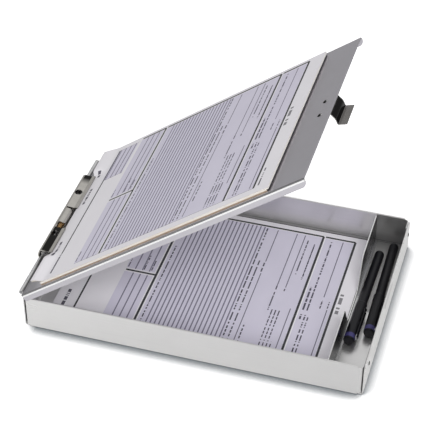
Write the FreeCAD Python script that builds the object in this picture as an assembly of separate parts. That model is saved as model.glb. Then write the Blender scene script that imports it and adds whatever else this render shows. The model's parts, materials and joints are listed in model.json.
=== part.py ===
import FreeCAD, Part
import math
import os

# Storage clipboard: a shallow aluminium tray with a hinged lid that is also the writing
# board.  The lid carries a spring clip at its hinge end and a spring latch at its free end.
#
# Units are millimetres.  X runs along the length with the hinge at -X, Y runs across the
# width, Z is up.  The origin is the centre of the tray's underside.  Pieces of the lid are
# drawn on a closed lid, in a frame whose origin is the hinge axis, and then swung open.

Vector = FreeCAD.Vector
ALONG_Y = Vector(0, 1, 0)

# --- Tray ---------------------------------------------------------------------------------
tray_length = 330.0
tray_width = 220.0
tray_depth = 36.0
sheet = 1.0
bend_radius = 2.0
hem_height = 6.0
end_wall_drop = 0.6
end_corner_radius = 5.0
tab_gap = 0.5
tab_bend_radius = 4.2
corner_slit = 1.8
short_tab_length = 14.0
long_tab_length = 32.0
short_tab_rivet = 7.0
long_tab_rivet = 23.0
tab_drop = 2.0
corner_rivet_z = 20.3
corner_rivet_head = 2.2

# --- Divider and its finger scoop -----------------------------------------------------------
divider_x = 130.8
divider_drop = 0.8
divider_foot = 3.0
divider_side_gap = 0.35
scoop_centre_y = 0.8
scoop_top_width = 82.0
scoop_bottom_width = 45.0
scoop_bottom_z = 4.2

# --- Hinge ----------------------------------------------------------------------------------
barrel_radius = 2.2
pin_radius = 1.2
running_gap = 0.06
leaf_sheet = 0.6
knuckle_pitch = 15.2
knuckle_count = 14
knuckle_gap = 0.2
leaf_standoff = 0.05
leaf_over_rim = 0.4
leaf_reach = 16.0
leaf_rivet_reach = 11.5
pin_overhang = 0.6
hinge_rivet_ys = (-84.0, -42.0, 0.0, 42.0, 84.0)

# --- Lid ------------------------------------------------------------------------------------
lid_open_angle = 36.8
lid_sheet = 1.2
lid_width = 224.0
lid_overhang = 1.75
lid_start = 2.7
flange_depth = 8.0
flange_end_radius = 6.0

# --- Rivets ---------------------------------------------------------------------------------
shank_radius = 1.6
rivet_head = 2.7
rivet_crown = 0.9
rivet_tail = 0.7

# --- Paper ----------------------------------------------------------------------------------
paper_length = 279.4
paper_width = 215.9
backing_thickness = 0.7
pad_thickness = 3.2
pad_start = 18.4
stack_thickness = 1.0
stack_width = 212.5
stack_centre_y = -1.65
stack_end_gap = 0.9

# --- Clip -----------------------------------------------------------------------------------
clip_length = 122.6
clip_centre_v = 1.6
jaw_sheet = 1.2
pivot_u = 10.6
pivot_w = 5.1
rod_radius = 1.5
rod_length = 121.4
lever_sheet_radius = 5.6
lever_back = 0.8
lever_low = 0.9
lever_corner = 3.5
lever_width = 22.0
lever_centre_v = -5.5
window_width = 33.0
window_centre_v = -8.0
cheek_reach = 2.6
jaw_hole_radius = 3.9
jaw_hole_place = (14.0, 7.7)
jaw_hole_slope = (0.66, 0.75)
clip_rivet_head = 2.9
ear_inset = 0.4
ear_window_gap = 2.5
cheek_inset = 4.0
clip_rivet_v = 33.0
ear_sheet = 1.2
ear_radius = 2.6
base_front = 17.8
base_back = 6.5
base_sheet = 1.0
spring_wire = 0.55
spring_radius = 2.75
spring_turns = 15.25
spring_pitch = 1.7
spring_centre_v = -10.0

# --- Latch ----------------------------------------------------------------------------------
latch_sheet = 0.7
latch_width = 30.0
latch_foot_inset = 20.0
latch_rivet_inset = 12.2
latch_rivet_v = 10.8
latch_wall_gap = 0.95
latch_notch_depth = 14.0
bead_height = 0.75
bead_above_notch = 2.2
bead_length = 34.0
bead_half_height = 1.25
latch_bow = 1.25
latch_tab_reach = 7.8
latch_tab_drop = 3.0

# --- Pens -----------------------------------------------------------------------------------
pen_length = 136.0
cap_radius = 5.5
cap_length = 54.0
barrel_radius_pen = 4.7
band_start = 1.8
band_width = 5.4
nose_start = 16.0
nose_radius = 3.6
nose_tip_radius = 1.2
nose_full = 30.0
shoulder = 41.7
cap_bore_radius = 3.9
band_depth = 0.5
pen_clip_start = 3.4
pen_clip_stop = 46.0
pen_clip_tilt = 24.0
pen_clip_sheet = 0.9
pen_clip_width = 3.4
pen_clip_lift = 1.9
pen_clip_dip = 0.45
pen_1_axis = ((138.4, -50.5), (141.1, 85.5))
pen_2_axis = ((154.5, -35.2), (152.6, 101.2))

# --- Derived places -------------------------------------------------------------------------
half_length = tray_length / 2.0
half_width = tray_width / 2.0
end_wall_top = tray_depth - end_wall_drop
divider_top = tray_depth - divider_drop
hinge_x = -half_length - leaf_standoff - barrel_radius
hinge_z = tray_depth + leaf_over_rim + barrel_radius
lid_under = -barrel_radius + leaf_sheet
lid_top = lid_under + lid_sheet
end_wall_u = half_length - hinge_x
lid_reach = end_wall_u + lid_overhang
latch_foot_start = lid_reach - latch_foot_inset
latch_rivet_u = lid_reach - latch_rivet_inset
hinge_half = knuckle_pitch * knuckle_count / 2.0
notch_w = -latch_notch_depth
pad_top = lid_top + pad_thickness


# --- Small tools ----------------------------------------------------------------------------
def to_space(plane, a, b, level):
    """Point (a, b) of a drawing plane, at a level along the plane's normal."""
    if plane == "XZ":
        return Vector(a, level, b)
    if plane == "YZ":
        return Vector(level, a, b)
    return Vector(a, b, level)


def normal_of(plane):
    """Unit normal of a drawing plane."""
    return {"XZ": Vector(0, 1, 0), "YZ": Vector(1, 0, 0), "XY": Vector(0, 0, 1)}[plane]


def rounded_wire(points, radii, plane, level):
    """Closed wire through the corner points, each corner rounded by its own radius."""
    count = len(points)
    corners = []
    for i in range(count):
        before = Vector(*points[i - 1], 0)
        here = Vector(*points[i], 0)
        after = Vector(*points[(i + 1) % count], 0)
        back = (before - here).normalize()
        forward = (after - here).normalize()
        radius = radii[i]
        if radius <= 0:
            corners.append((here, None, here))
            continue
        half_angle = math.acos(max(-1.0, min(1.0, back.dot(forward)))) / 2.0
        reach = radius / math.tan(half_angle)
        inward = (back + forward).normalize()
        centre = here + inward * (radius / math.sin(half_angle))
        middle = centre - inward * radius
        corners.append((here + back * reach, middle, here + forward * reach))
    edges = []
    for i in range(count):
        start, middle, stop = (to_space(plane, p.x, p.y, level) if p else None for p in corners[i])
        if middle:
            edges.append(Part.Arc(start, middle, stop).toShape())
        following = corners[(i + 1) % count][0]
        target = to_space(plane, following.x, following.y, level)
        if stop.distanceToPoint(target) > 1e-6:
            edges.append(Part.makeLine(stop, target))
    return Part.Wire(edges)


def prism(points, radii, plane, start, stop):
    """Solid whose outline lies in a plane and which runs from start to stop along its normal."""
    face = Part.Face(rounded_wire(points, radii, plane, start))
    return face.extrude(normal_of(plane) * (stop - start))


def strip_outline(path, thickness, bends, tip_radius=0.0):
    """Outline and corner radii of a bent strip; bends are the inner radii at its bends."""
    half = thickness / 2.0
    left, right, left_radii, right_radii = [], [], [], []
    last = len(path) - 1
    for i, point in enumerate(path):
        here = Vector(*point, 0)
        ahead = (Vector(*path[min(i + 1, last)], 0) - Vector(*path[min(i, last - 1)], 0)).normalize()
        behind = (Vector(*path[max(i, 1)], 0) - Vector(*path[max(i - 1, 0)], 0)).normalize()
        side_a = Vector(-ahead.y, ahead.x, 0)
        side_b = Vector(-behind.y, behind.x, 0)
        mitre = (side_a + side_b).normalize()
        offset = mitre * (half / mitre.dot(side_a))
        left.append(((here + offset).x, (here + offset).y))
        right.append(((here - offset).x, (here - offset).y))
        if i in (0, last):
            left_radii.append(tip_radius)
            right_radii.append(tip_radius)
            continue
        turn_left = behind.x * ahead.y - behind.y * ahead.x > 0
        inner = bends[i - 1]
        left_radii.append(inner if turn_left else inner + thickness)
        right_radii.append(inner + thickness if turn_left else inner)
    return left + right[::-1], left_radii + right_radii[::-1]


def bent_strip(path, thickness, bends, start, stop, tip_radius=0.0):
    """Sheet-metal strip: a bent path in the XZ plane, as wide as start to stop along Y."""
    points, radii = strip_outline(path, thickness, bends, tip_radius)
    return prism(points, radii, "XZ", start, stop)


def box(low, high):
    """Block between two opposite corners."""
    size = Vector(*high) - Vector(*low)
    return Part.makeBox(size.x, size.y, size.z, Vector(*low))


def rod(radius, start, stop):
    """Round bar between two points."""
    axis = Vector(*stop) - Vector(*start)
    return Part.makeCylinder(radius, axis.Length, Vector(*start), axis)


def rivet(centre, axis, grip, head=rivet_head, flush=False):
    """Solid rivet whose domed head sits at centre and whose shank runs along axis."""
    direction = Vector(*axis).normalize()
    origin = Vector(*centre)
    body = Part.makeCylinder(shank_radius, grip, origin, direction)
    tail = Part.makeCylinder(head * 0.85, rivet_tail, origin + direction * grip, direction)
    body = body.fuse(tail)
    if flush:
        return body
    sphere_radius = (head * head + rivet_crown * rivet_crown) / (2.0 * rivet_crown)
    dome = Part.makeSphere(sphere_radius, origin + direction * (sphere_radius - rivet_crown))
    slab = Part.makeCylinder(head, rivet_crown, origin - direction * rivet_crown, direction)
    return body.fuse(dome.common(slab))


def fused(shapes):
    """One solid from touching or overlapping solids."""
    first = shapes[0]
    return first.fuse(shapes[1:]).removeSplitter()


def swing_open(shape):
    """Move a piece drawn on the closed lid to its place on the open lid."""
    moved = shape.copy()
    moved.rotate(Vector(0, 0, 0), Vector(0, -1, 0), lid_open_angle)
    moved.translate(Vector(hinge_x, 0, hinge_z))
    return moved


def export(name, shape):
    """Write one sub-part as its own STEP file."""
    shape.exportStep("parts/%s.step" % name)


# --- Tray pieces ----------------------------------------------------------------------------
def tray_channel():
    """Floor and the two side walls, each with a flat hem folded inward along its top."""
    hem = 2.0 * sheet + 0.1
    right_side = [
        (half_width, 0.0),
        (half_width, tray_depth),
        (half_width - hem, tray_depth),
        (half_width - hem, tray_depth - hem_height),
        (half_width - sheet, tray_depth - hem_height),
        (half_width - sheet, sheet),
    ]
    right_radii = [bend_radius, hem / 2.0 - 0.01, hem / 2.0 - 0.01, 0.3, 0.0, bend_radius - sheet]
    left_side = [(-y, z) for y, z in reversed(right_side)]
    points = right_side + left_side
    radii = right_radii + right_radii[::-1]
    reach = half_length - tab_bend_radius - sheet - tab_gap
    return prism(points, radii, "YZ", -reach, reach)


def tray_end(side):
    """Floor edge bent up into an end wall with rounded top corners."""
    inner = half_length - tab_bend_radius - sheet - tab_gap - 1.0
    path = [(side * inner, sheet / 2.0), (side * (half_length - sheet / 2.0), sheet / 2.0)]
    path.append((side * (half_length - sheet / 2.0), end_wall_top))
    reach = half_width - corner_slit
    wall = bent_strip(path, sheet, [bend_radius - sheet], -reach, reach)
    corner = end_corner_radius
    window_points = [(-reach, -1.0), (reach, -1.0), (reach, end_wall_top), (-reach, end_wall_top)]
    low = min(side * (inner - 1.0), side * (half_length + 1.0))
    high = max(side * (inner - 1.0), side * (half_length + 1.0))
    return wall.common(prism(window_points, [0.0, 0.0, corner, corner], "YZ", low, high))


def tray_tab(side, hand, length):
    """End of a side wall, bent inward behind the end wall, where a rivet holds it."""
    face_x = half_length - sheet - tab_gap - sheet / 2.0
    wall_y = half_width - sheet / 2.0
    start_x = half_length - tab_bend_radius - sheet - tab_gap - 1.0
    path = [(side * start_x, hand * wall_y), (side * face_x, hand * wall_y)]
    path.append((side * face_x, hand * (half_width - length)))
    points, radii = strip_outline(path, sheet, [tab_bend_radius - sheet])
    return prism(points, radii, "XY", bend_radius + 0.5, tray_depth - tab_drop)


def catch_bead():
    """Ridge pressed outward from the free end's wall; the latch notch hooks under it."""
    bead_z = hinge_z + notch_w + bead_above_notch
    height = bead_height
    half = bead_half_height
    radius = (half * half + height * height) / (2.0 * height)
    axis_x = half_length + height - radius
    start = Vector(axis_x, -bead_length / 2.0, bead_z)
    ridge = Part.makeCylinder(radius, bead_length, start, ALONG_Y)
    skin = Part.makeCylinder(radius - sheet * 0.6, bead_length - 2.0, start + ALONG_Y, ALONG_Y)
    outside = box((half_length - 0.2, -half_width, 0), (half_length + 5.0, half_width, tray_depth))
    return ridge.common(outside), skin


def tray_tabs():
    """Each corner's tab as (side along X, side along Y, tab length, rivet inset)."""
    tabs = [(side, hand, short_tab_length, short_tab_rivet) for side in (1, -1) for hand in (1, -1)]
    tabs[1] = (1, -1, long_tab_length, long_tab_rivet)
    return tabs


def make_tray_pan():
    """The folded tray: floor, hemmed side walls, end walls, riveted corner tabs."""
    pieces = [tray_channel(), tray_end(1), tray_end(-1)]
    for side, hand, length, inset in tray_tabs():
        pieces.append(tray_tab(side, hand, length))
    ridge, groove = catch_bead()
    pieces.append(ridge)
    pan = fused(pieces).cut(groove)
    for side, hand, length, inset in tray_tabs():
        y = hand * (half_width - inset)
        start = (side * (half_length - 4.0), y, corner_rivet_z)
        stop = (side * (half_length + 1.0), y, corner_rivet_z)
        pan = pan.cut(rod(shank_radius, start, stop))
    for y in hinge_rivet_ys:
        z = hinge_rivet_z()
        pan = pan.cut(rod(shank_radius, (-half_length - 1.0, y, z), (-half_length + 3.0, y, z)))
    return pan


def make_corner_rivets():
    """Four rivets that join the end walls to the side walls' tabs."""
    grip = 2.0 * sheet + tab_gap
    rivets = []
    for side, hand, length, inset in tray_tabs():
        place = (side * half_length, hand * (half_width - inset), corner_rivet_z)
        rivets.append(rivet(place, (-side, 0, 0), grip, head=corner_rivet_head))
    return Part.makeCompound(rivets)


def make_divider():
    """Upright sheet that closes off the pen compartment, with a finger scoop in the middle."""
    reach = half_width - 2.0 * sheet - divider_side_gap
    low_reach = half_width - sheet - divider_side_gap
    top = divider_top
    half_top = scoop_top_width / 2.0
    half_bottom = scoop_bottom_width / 2.0
    centre = scoop_centre_y
    hem_z = tray_depth - hem_height - 0.4
    points = [(-low_reach, sheet), (low_reach, sheet), (low_reach, hem_z), (reach, hem_z), (reach, top)]
    points += [(centre + half_top, top), (centre + half_bottom, scoop_bottom_z)]
    points += [(centre - half_bottom, scoop_bottom_z), (centre - half_top, top)]
    points += [(-reach, top), (-reach, hem_z), (-low_reach, hem_z)]
    radii = [1.6, 1.6, 1.0, 0, 2.5, 6.0, 7.0, 7.0, 6.0, 2.5, 0, 1.0]
    wall = prism(points, radii, "YZ", divider_x - sheet / 2.0, divider_x + sheet / 2.0)
    foot_low = (divider_x - sheet / 2.0, -low_reach + 2.0, sheet)
    foot_high = (divider_x + divider_foot, low_reach - 2.0, 2.0 * sheet)
    return fused([wall, box(foot_low, foot_high)])


# --- Hinge pieces ---------------------------------------------------------------------------
def hinge_rivet_z():
    """Height of the rivets that hold the hinge's leaf to the end wall."""
    return hinge_z - leaf_rivet_reach


def knuckle_spans(parity):
    """Start and end along Y of every other knuckle."""
    spans = []
    for i in range(parity, knuckle_count, 2):
        start = i * knuckle_pitch - hinge_half
        spans.append((start + knuckle_gap / 2.0, start + knuckle_pitch - knuckle_gap / 2.0))
    return spans


def hinge_leaf(parity, bore):
    """Leaf drawn flat below the hinge axis along +X, rolled into every other knuckle."""
    reach = hinge_half
    clear = barrel_radius + 0.4
    plate_low = -barrel_radius
    plate_high = -barrel_radius + leaf_sheet
    pieces = [box((clear, -reach, plate_low), (leaf_reach, reach, plate_high))]
    for start, stop in knuckle_spans(parity):
        pieces.append(rod(barrel_radius, (0, start, 0), (0, stop, 0)))
        pieces.append(box((0, start, plate_low), (clear + 0.1, stop, plate_high)))
    leaf = fused(pieces)
    return leaf.cut(rod(bore, (0, -reach - 1.0, 0), (0, reach + 1.0, 0)))


def make_leaf_tray():
    """Hinge leaf that stands against the outside of the tray's end wall."""
    leaf = hinge_leaf(0, pin_radius)
    leaf.rotate(Vector(0, 0, 0), ALONG_Y, 90.0)
    flipped = leaf.mirror(Vector(0, 0, 0), Vector(1, 0, 0))
    flipped.translate(Vector(hinge_x, 0, hinge_z))
    for y in hinge_rivet_ys:
        z = hinge_rivet_z()
        flipped = flipped.cut(rod(shank_radius, (hinge_x - 5.0, y, z), (hinge_x + 5.0, y, z)))
    return flipped


def make_leaf_lid():
    """Hinge leaf under the lid's sheet."""
    leaf = hinge_leaf(1, pin_radius + running_gap)
    for u, v in lid_leaf_holes():
        leaf = leaf.cut(rod(shank_radius, (u, v, -5.0), (u, v, 1.0)))
    return leaf


def make_hinge_pin():
    """Pin through all the knuckles, a little longer than the hinge."""
    reach = hinge_half + pin_overhang
    pin = rod(pin_radius, (0, -reach, 0), (0, reach, 0))
    pin.translate(Vector(hinge_x, 0, hinge_z))
    return pin


def lid_leaf_holes():
    """Holes that the lid's sheet and its leaf share, as (u, v)."""
    holes = [(leaf_rivet_reach, v) for v in hinge_rivet_ys]
    return holes + [(pivot_u, clip_centre_v + side * clip_rivet_v) for side in (-1, 1)]


def make_tray_leaf_rivets():
    """Rivets from the outside through the tray's leaf and end wall."""
    face = -half_length - leaf_standoff - leaf_sheet
    grip = leaf_sheet + leaf_standoff + sheet
    z = hinge_rivet_z()
    return Part.makeCompound([rivet((face, y, z), (1, 0, 0), grip) for y in hinge_rivet_ys])


def make_lid_leaf_rivets():
    """Rivets flush with the lid's top, upset under the leaf."""
    grip = lid_sheet + leaf_sheet
    places = [(leaf_rivet_reach, y, lid_top) for y in hinge_rivet_ys]
    return Part.makeCompound([rivet(place, (0, 0, -1), grip, flush=True) for place in places])


# --- Lid pieces -----------------------------------------------------------------------------
def make_lid_panel():
    """Lid sheet with a shallow flange bent down along both sides, open at the ends."""
    half = lid_width / 2.0
    right = [(half, lid_top), (half, lid_top - flange_depth), (half - lid_sheet, lid_top - flange_depth)]
    right.append((half - lid_sheet, lid_under))
    points = right + [(-y, z) for y, z in reversed(right)]
    radii = [bend_radius, 0.25, 0.25, bend_radius - lid_sheet]
    panel = prism(points, radii + radii[::-1], "YZ", lid_start, lid_reach)
    low = lid_top - flange_depth
    side_points = [(lid_start, lid_top + 1.0), (lid_reach, lid_top + 1.0), (lid_reach, low), (lid_start, low)]
    side_view = prism(side_points, [0, 0, flange_end_radius, 2.0], "XZ", -half - 1.0, half + 1.0)
    panel = panel.common(side_view)
    holes = lid_leaf_holes() + [(latch_rivet_u, -latch_rivet_v), (latch_rivet_u, latch_rivet_v)]
    for u, v in holes:
        panel = panel.cut(rod(shank_radius, (u, v, -5.0), (u, v, 5.0)))
    return panel


def make_pad_backing():
    """Chipboard back of the pad of forms."""
    half = paper_width / 2.0
    return box((pad_start, -half, lid_top), (pad_start + paper_length, half, lid_top + backing_thickness))


def make_forms_pad():
    """Pad of printed forms held by the clip."""
    half = paper_width / 2.0
    low = (pad_start, -half, lid_top + backing_thickness)
    return box(low, (pad_start + paper_length, half, pad_top))


def make_forms_stack():
    """Loose forms kept in the tray."""
    near, far = stack_centre_y - stack_width / 2.0, stack_centre_y + stack_width / 2.0
    stop = divider_x - sheet / 2.0 - stack_end_gap
    return box((stop - paper_length, near, sheet), (stop, far, sheet + stack_thickness))


# --- Clip pieces ----------------------------------------------------------------------------
def ear(v, sign):
    """Upright ear of the clip's base, with its foot on the base plate."""
    base_top = lid_top + base_sheet
    start = min(v, v + sign * ear_sheet)
    stop = max(v, v + sign * ear_sheet)
    half = ear_radius
    points = [(pivot_u - half - 1.5, base_top - 0.5), (pivot_u + half + 1.5, base_top - 0.5)]
    points += [(pivot_u + half, pivot_w + half), (pivot_u - half, pivot_w + half)]
    plate = prism(points, [0, 0, half - 0.05, half - 0.05], "XZ", start, stop)
    return plate.cut(rod(rod_radius, (pivot_u, start - 1.0, pivot_w), (pivot_u, stop + 1.0, pivot_w)))


def ear_places():
    """Inner face and outward direction of each ear, as (v, sign)."""
    outer = rod_length / 2.0 - ear_sheet - ear_inset
    far_inner = window_centre_v + window_width / 2.0 + ear_window_gap
    near_inner = window_centre_v - window_width / 2.0 - ear_window_gap
    return ((outer, 1), (-outer, -1), (far_inner, 1), (near_inner, -1))


def make_clip_base():
    """Base plate of the clip, riveted to the lid, with four ears that carry the rod."""
    half = clip_length / 2.0 - 1.0
    base_top = lid_top + base_sheet
    outline = [(base_back, -half), (base_front, -half), (base_front, half), (base_back, half)]
    plate = prism(outline, [1.5] * 4, "XY", lid_top, base_top)
    base = fused([plate] + [ear(v, sign) for v, sign in ear_places()])
    for v in (-clip_rivet_v, clip_rivet_v):
        base = base.cut(rod(shank_radius, (pivot_u, v, lid_top - 1.0), (pivot_u, v, base_top + 1.0)))
    return base


def make_clip_rivets():
    """Two rivets that hold the clip's base to the lid and the hinge leaf."""
    top = lid_top + base_sheet
    grip = base_sheet + lid_sheet + leaf_sheet
    places = (-clip_rivet_v, clip_rivet_v)
    return Part.makeCompound([rivet((pivot_u, v, top), (0, 0, -1), grip, clip_rivet_head) for v in places])


def make_clip_rod():
    """Steel rod on which the jaw turns."""
    half = rod_length / 2.0
    return rod(rod_radius, (pivot_u, -half, pivot_w), (pivot_u, half, pivot_w))


def make_clip_spring():
    """Torsion spring around the rod, one leg on the base and one under the jaw's back."""
    length = spring_turns * spring_pitch
    half = length / 2.0
    helix = Part.makeHelix(spring_pitch, length, spring_radius, 0, True)
    profile = Part.Wire(Part.makeCircle(spring_wire, Vector(spring_radius, 0, 0), ALONG_Y))
    coil = Part.Wire(helix).makePipeShell([profile], True, True)
    coil.rotate(Vector(0, 0, 0), Vector(1, 0, 0), -90.0)
    start = spring_centre_v - half
    stop = spring_centre_v + half
    coil.translate(Vector(pivot_u, start, pivot_w))
    foot = (pivot_u + spring_radius, start, lid_top + base_sheet + 0.02)
    leg = rod(spring_wire, (pivot_u + spring_radius, start, pivot_w), foot)
    top = pivot_w + spring_radius
    arm = rod(spring_wire, (pivot_u, stop, top), (pivot_u - 2.3, stop, top))
    return coil.fuse([leg, arm])


def jaw_path():
    """Middle line of the jaw's sheet, from its back edge over the ridge to the flared lip."""
    return [(3.3, 3.2), (4.6, 6.6), (10.4, 10.9), (17.2, 4.9), (20.8, pad_top + 0.64)]


def make_clip_jaw():
    """Sprung jaw: a roof-shaped bar whose front lip presses on the pad."""
    half = clip_length / 2.0
    roof = bent_strip(jaw_path(), jaw_sheet, [1.2, 2.2, 0.9], -half, half, 0.35)
    window_start = window_centre_v - window_width / 2.0
    window = box((pivot_u + 1.2, window_start, -1.0), (30.0, window_start + window_width, 20.0))
    roof = roof.cut(window)
    pieces = [roof, lever_hood()]
    low = pivot_w - cheek_reach
    left, right = pivot_u - cheek_reach, pivot_u + cheek_reach
    cheek_points = [(left, low), (right, low), (right, pivot_w + 3.0), jaw_path()[2], (left, pivot_w + 3.0)]
    cheek_v = rod_length / 2.0 - 2.0 * ear_sheet - cheek_inset
    for sign in (-1, 1):
        start = sign * cheek_v - ear_sheet / 2.0
        radii = [2.0, 2.0, 0.4, 0.4, 0.4]
        pieces.append(prism(cheek_points, radii, "XZ", start, start + ear_sheet))
    jaw = fused(pieces)
    jaw = jaw.cut(rod(rod_radius + running_gap, (pivot_u, -half, pivot_w), (pivot_u, half, pivot_w)))
    for v in (-clip_rivet_v, clip_rivet_v):
        slope = Vector(jaw_hole_slope[0], 0, jaw_hole_slope[1])
        origin = Vector(jaw_hole_place[0], v, jaw_hole_place[1]) - slope * 4.0
        jaw = jaw.cut(Part.makeCylinder(jaw_hole_radius, 12.0, origin, slope))
    return jaw


def lever_hood():
    """Middle tongue of the jaw, curled down around the spring."""
    outer = lever_sheet_radius
    inner = lever_sheet_radius - jaw_sheet
    half = lever_width / 2.0
    start = lever_centre_v - half
    stop = lever_centre_v + half
    centre = Vector(pivot_u, start, pivot_w)
    ring = Part.makeCylinder(outer, lever_width, centre, ALONG_Y)
    ring = ring.cut(Part.makeCylinder(inner, lever_width, centre, ALONG_Y))
    back, front = pivot_u - lever_back, pivot_u + outer + 1.0
    low, high = pivot_w - lever_low, pivot_w + outer + 1.0
    ring = ring.common(box((back, start, low), (front, stop, high)))
    face = [(start, low), (stop, low), (stop, high), (start, high)]
    return ring.common(prism(face, [lever_corner, lever_corner, 0, 0], "YZ", back - 1.0, front))


# --- Latch pieces ---------------------------------------------------------------------------
def latch_face_u():
    """Distance from the hinge axis to the middle of the latch strip where it leaves the lid."""
    return end_wall_u + latch_wall_gap + latch_sheet / 2.0


def make_latch_foot():
    """Flat end of the latch strip, riveted under the lid's free edge."""
    half = latch_width / 2.0
    stop = latch_face_u() + latch_sheet / 2.0
    low = lid_under - latch_sheet
    outline = [(latch_foot_start, low), (stop, low), (stop, lid_under), (latch_foot_start, lid_under)]
    foot = prism(outline, [0.1, 0.1, latch_sheet * 0.8, 0.1], "XZ", -half, half)
    for v in (-latch_rivet_v, latch_rivet_v):
        foot = foot.cut(rod(shank_radius, (latch_rivet_u, v, low - 1.0), (latch_rivet_u, v, lid_under + 1.0)))
    return foot


def make_latch_arm():
    """Springy end of the latch strip: bowed out, notched in, then flared as a finger tab."""
    half = latch_width / 2.0
    face = latch_face_u()
    top = lid_under - latch_sheet - 0.1
    path = [(face, top), (face + latch_bow, 0.5 * (top + notch_w)), (face, notch_w)]
    path.append((face + latch_tab_reach, notch_w - latch_tab_drop))
    return bent_strip(path, latch_sheet, [9.0, 0.5], -half, half, 0.2)


def make_latch_rivets():
    """Two rivets through the lid and the latch foot."""
    grip = lid_sheet + latch_sheet
    places = (-latch_rivet_v, latch_rivet_v)
    return Part.makeCompound([rivet((latch_rivet_u, v, lid_top), (0, 0, -1), grip) for v in places])


# --- Pens -----------------------------------------------------------------------------------
def turned(profile):
    """Solid turned about the Y axis from a profile of (radius, y) points."""
    wire = Part.makePolygon([Vector(r, y, 0) for r, y in profile + profile[:1]])
    return Part.Face(wire).revolve(Vector(0, 0, 0), ALONG_Y, 360.0)


def place_pen(shape, axis):
    """Lay a pen, drawn along +Y from its cap end, on the tray's floor along an axis."""
    (x0, y0), (x1, y1) = axis
    drop = (cap_radius - barrel_radius_pen) / (pen_length - barrel_radius_pen - cap_length)
    start = Vector(x0, y0, sheet + cap_radius + drop * cap_length + 0.05)
    stop = Vector(x1, y1, start.z - drop * pen_length)
    turn = FreeCAD.Rotation(ALONG_Y, stop - start)
    placed = shape.copy()
    placed.Placement = FreeCAD.Placement(start, turn).multiply(shape.Placement)
    return placed


def pen_barrel():
    """Barrel with a rounded tail and a thinner nose that the cap covers."""
    radius = barrel_radius_pen
    profile = [(0, nose_start), (nose_tip_radius, nose_start), (nose_radius, nose_full)]
    profile += [(nose_radius, shoulder - 1.1), (radius, shoulder)]
    tail = pen_length - radius
    profile.append((radius, tail))
    for i in range(1, 12):
        angle = math.radians(90.0 * i / 12.0)
        profile.append((radius * math.cos(angle), tail + radius * math.sin(angle)))
    profile.append((0, pen_length))
    return turned(profile)


def pen_cap():
    """Cap, hollow, with a groove for its coloured band."""
    outer = cap_radius
    bore = barrel_radius_pen + 0.05
    groove = outer - band_depth
    band_stop = band_start + band_width
    profile = [(0, 0), (outer - 1.0, 0), (outer - 0.3, 0.4), (outer, 1.2)]
    profile += [(outer, band_start), (groove, band_start), (groove, band_stop), (outer, band_stop)]
    profile += [(outer, cap_length - 0.5), (outer - 0.3, cap_length), (bore, cap_length)]
    profile += [(bore, shoulder - 0.5), (cap_bore_radius, shoulder - 1.5)]
    profile += [(cap_bore_radius, nose_start - 1.4), (0, nose_start - 1.4)]
    return turned(profile)


def pen_band():
    """Coloured band let into the cap."""
    outer = cap_radius
    inner = outer - band_depth
    stop = band_start + band_width
    return turned([(inner, band_start), (outer, band_start), (outer, stop), (inner, stop)])


def pen_clip():
    """Pocket clip along the side of the cap."""
    foot = cap_radius - 0.02
    tip = pen_clip_stop
    lift = foot + pen_clip_lift
    path = [(foot, pen_clip_start), (lift, pen_clip_start), (lift - 0.4, tip - 5.0)]
    path += [(foot + pen_clip_dip, tip - 2.5), (lift - 0.6, tip)]
    points, radii = strip_outline(path, pen_clip_sheet, [0.3, 2.0, 0.6], 0.2)
    strip = prism(points, radii, "XY", -pen_clip_width / 2.0, pen_clip_width / 2.0)
    strip = strip.cut(rod(cap_radius, (0, -1.0, 0), (0, cap_length, 0)))
    strip.rotate(Vector(0, 0, 0), ALONG_Y, -pen_clip_tilt)
    return strip


# --- Build and export -----------------------------------------------------------------------
os.makedirs("parts", exist_ok=True)

export("tray_pan", make_tray_pan())
export("tray_corner_rivets", make_corner_rivets())
export("divider", make_divider())
export("hinge_leaf_tray", make_leaf_tray())
export("hinge_pin", make_hinge_pin())
export("hinge_tray_rivets", make_tray_leaf_rivets())
export("forms_stack", make_forms_stack())

lid_pieces = {
    "lid_panel": make_lid_panel(),
    "hinge_leaf_lid": make_leaf_lid(),
    "hinge_lid_rivets": make_lid_leaf_rivets(),
    "pad_backing": make_pad_backing(),
    "forms_pad": make_forms_pad(),
    "latch_foot": make_latch_foot(),
    "latch_arm": make_latch_arm(),
    "latch_rivets": make_latch_rivets(),
}
clip_pieces = {
    "clip_base": make_clip_base(),
    "clip_rivets": make_clip_rivets(),
    "clip_rod": make_clip_rod(),
    "clip_spring": make_clip_spring(),
    "clip_jaw": make_clip_jaw(),
}
for name, shape in clip_pieces.items():
    shape.translate(Vector(0, clip_centre_v, 0))
    lid_pieces[name] = shape
for name, shape in lid_pieces.items():
    export(name, swing_open(shape))

pen_pieces = {"barrel": pen_barrel(), "cap": pen_cap(), "band": pen_band(), "clip": pen_clip()}
for number, axis in enumerate((pen_1_axis, pen_2_axis), start=1):
    for kind, shape in pen_pieces.items():
        export("pen_%d_%s" % (number, kind), place_pen(shape, axis))
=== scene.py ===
import json
import math
import random

import bpy
import numpy as np
from mathutils import Matrix, Vector


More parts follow.
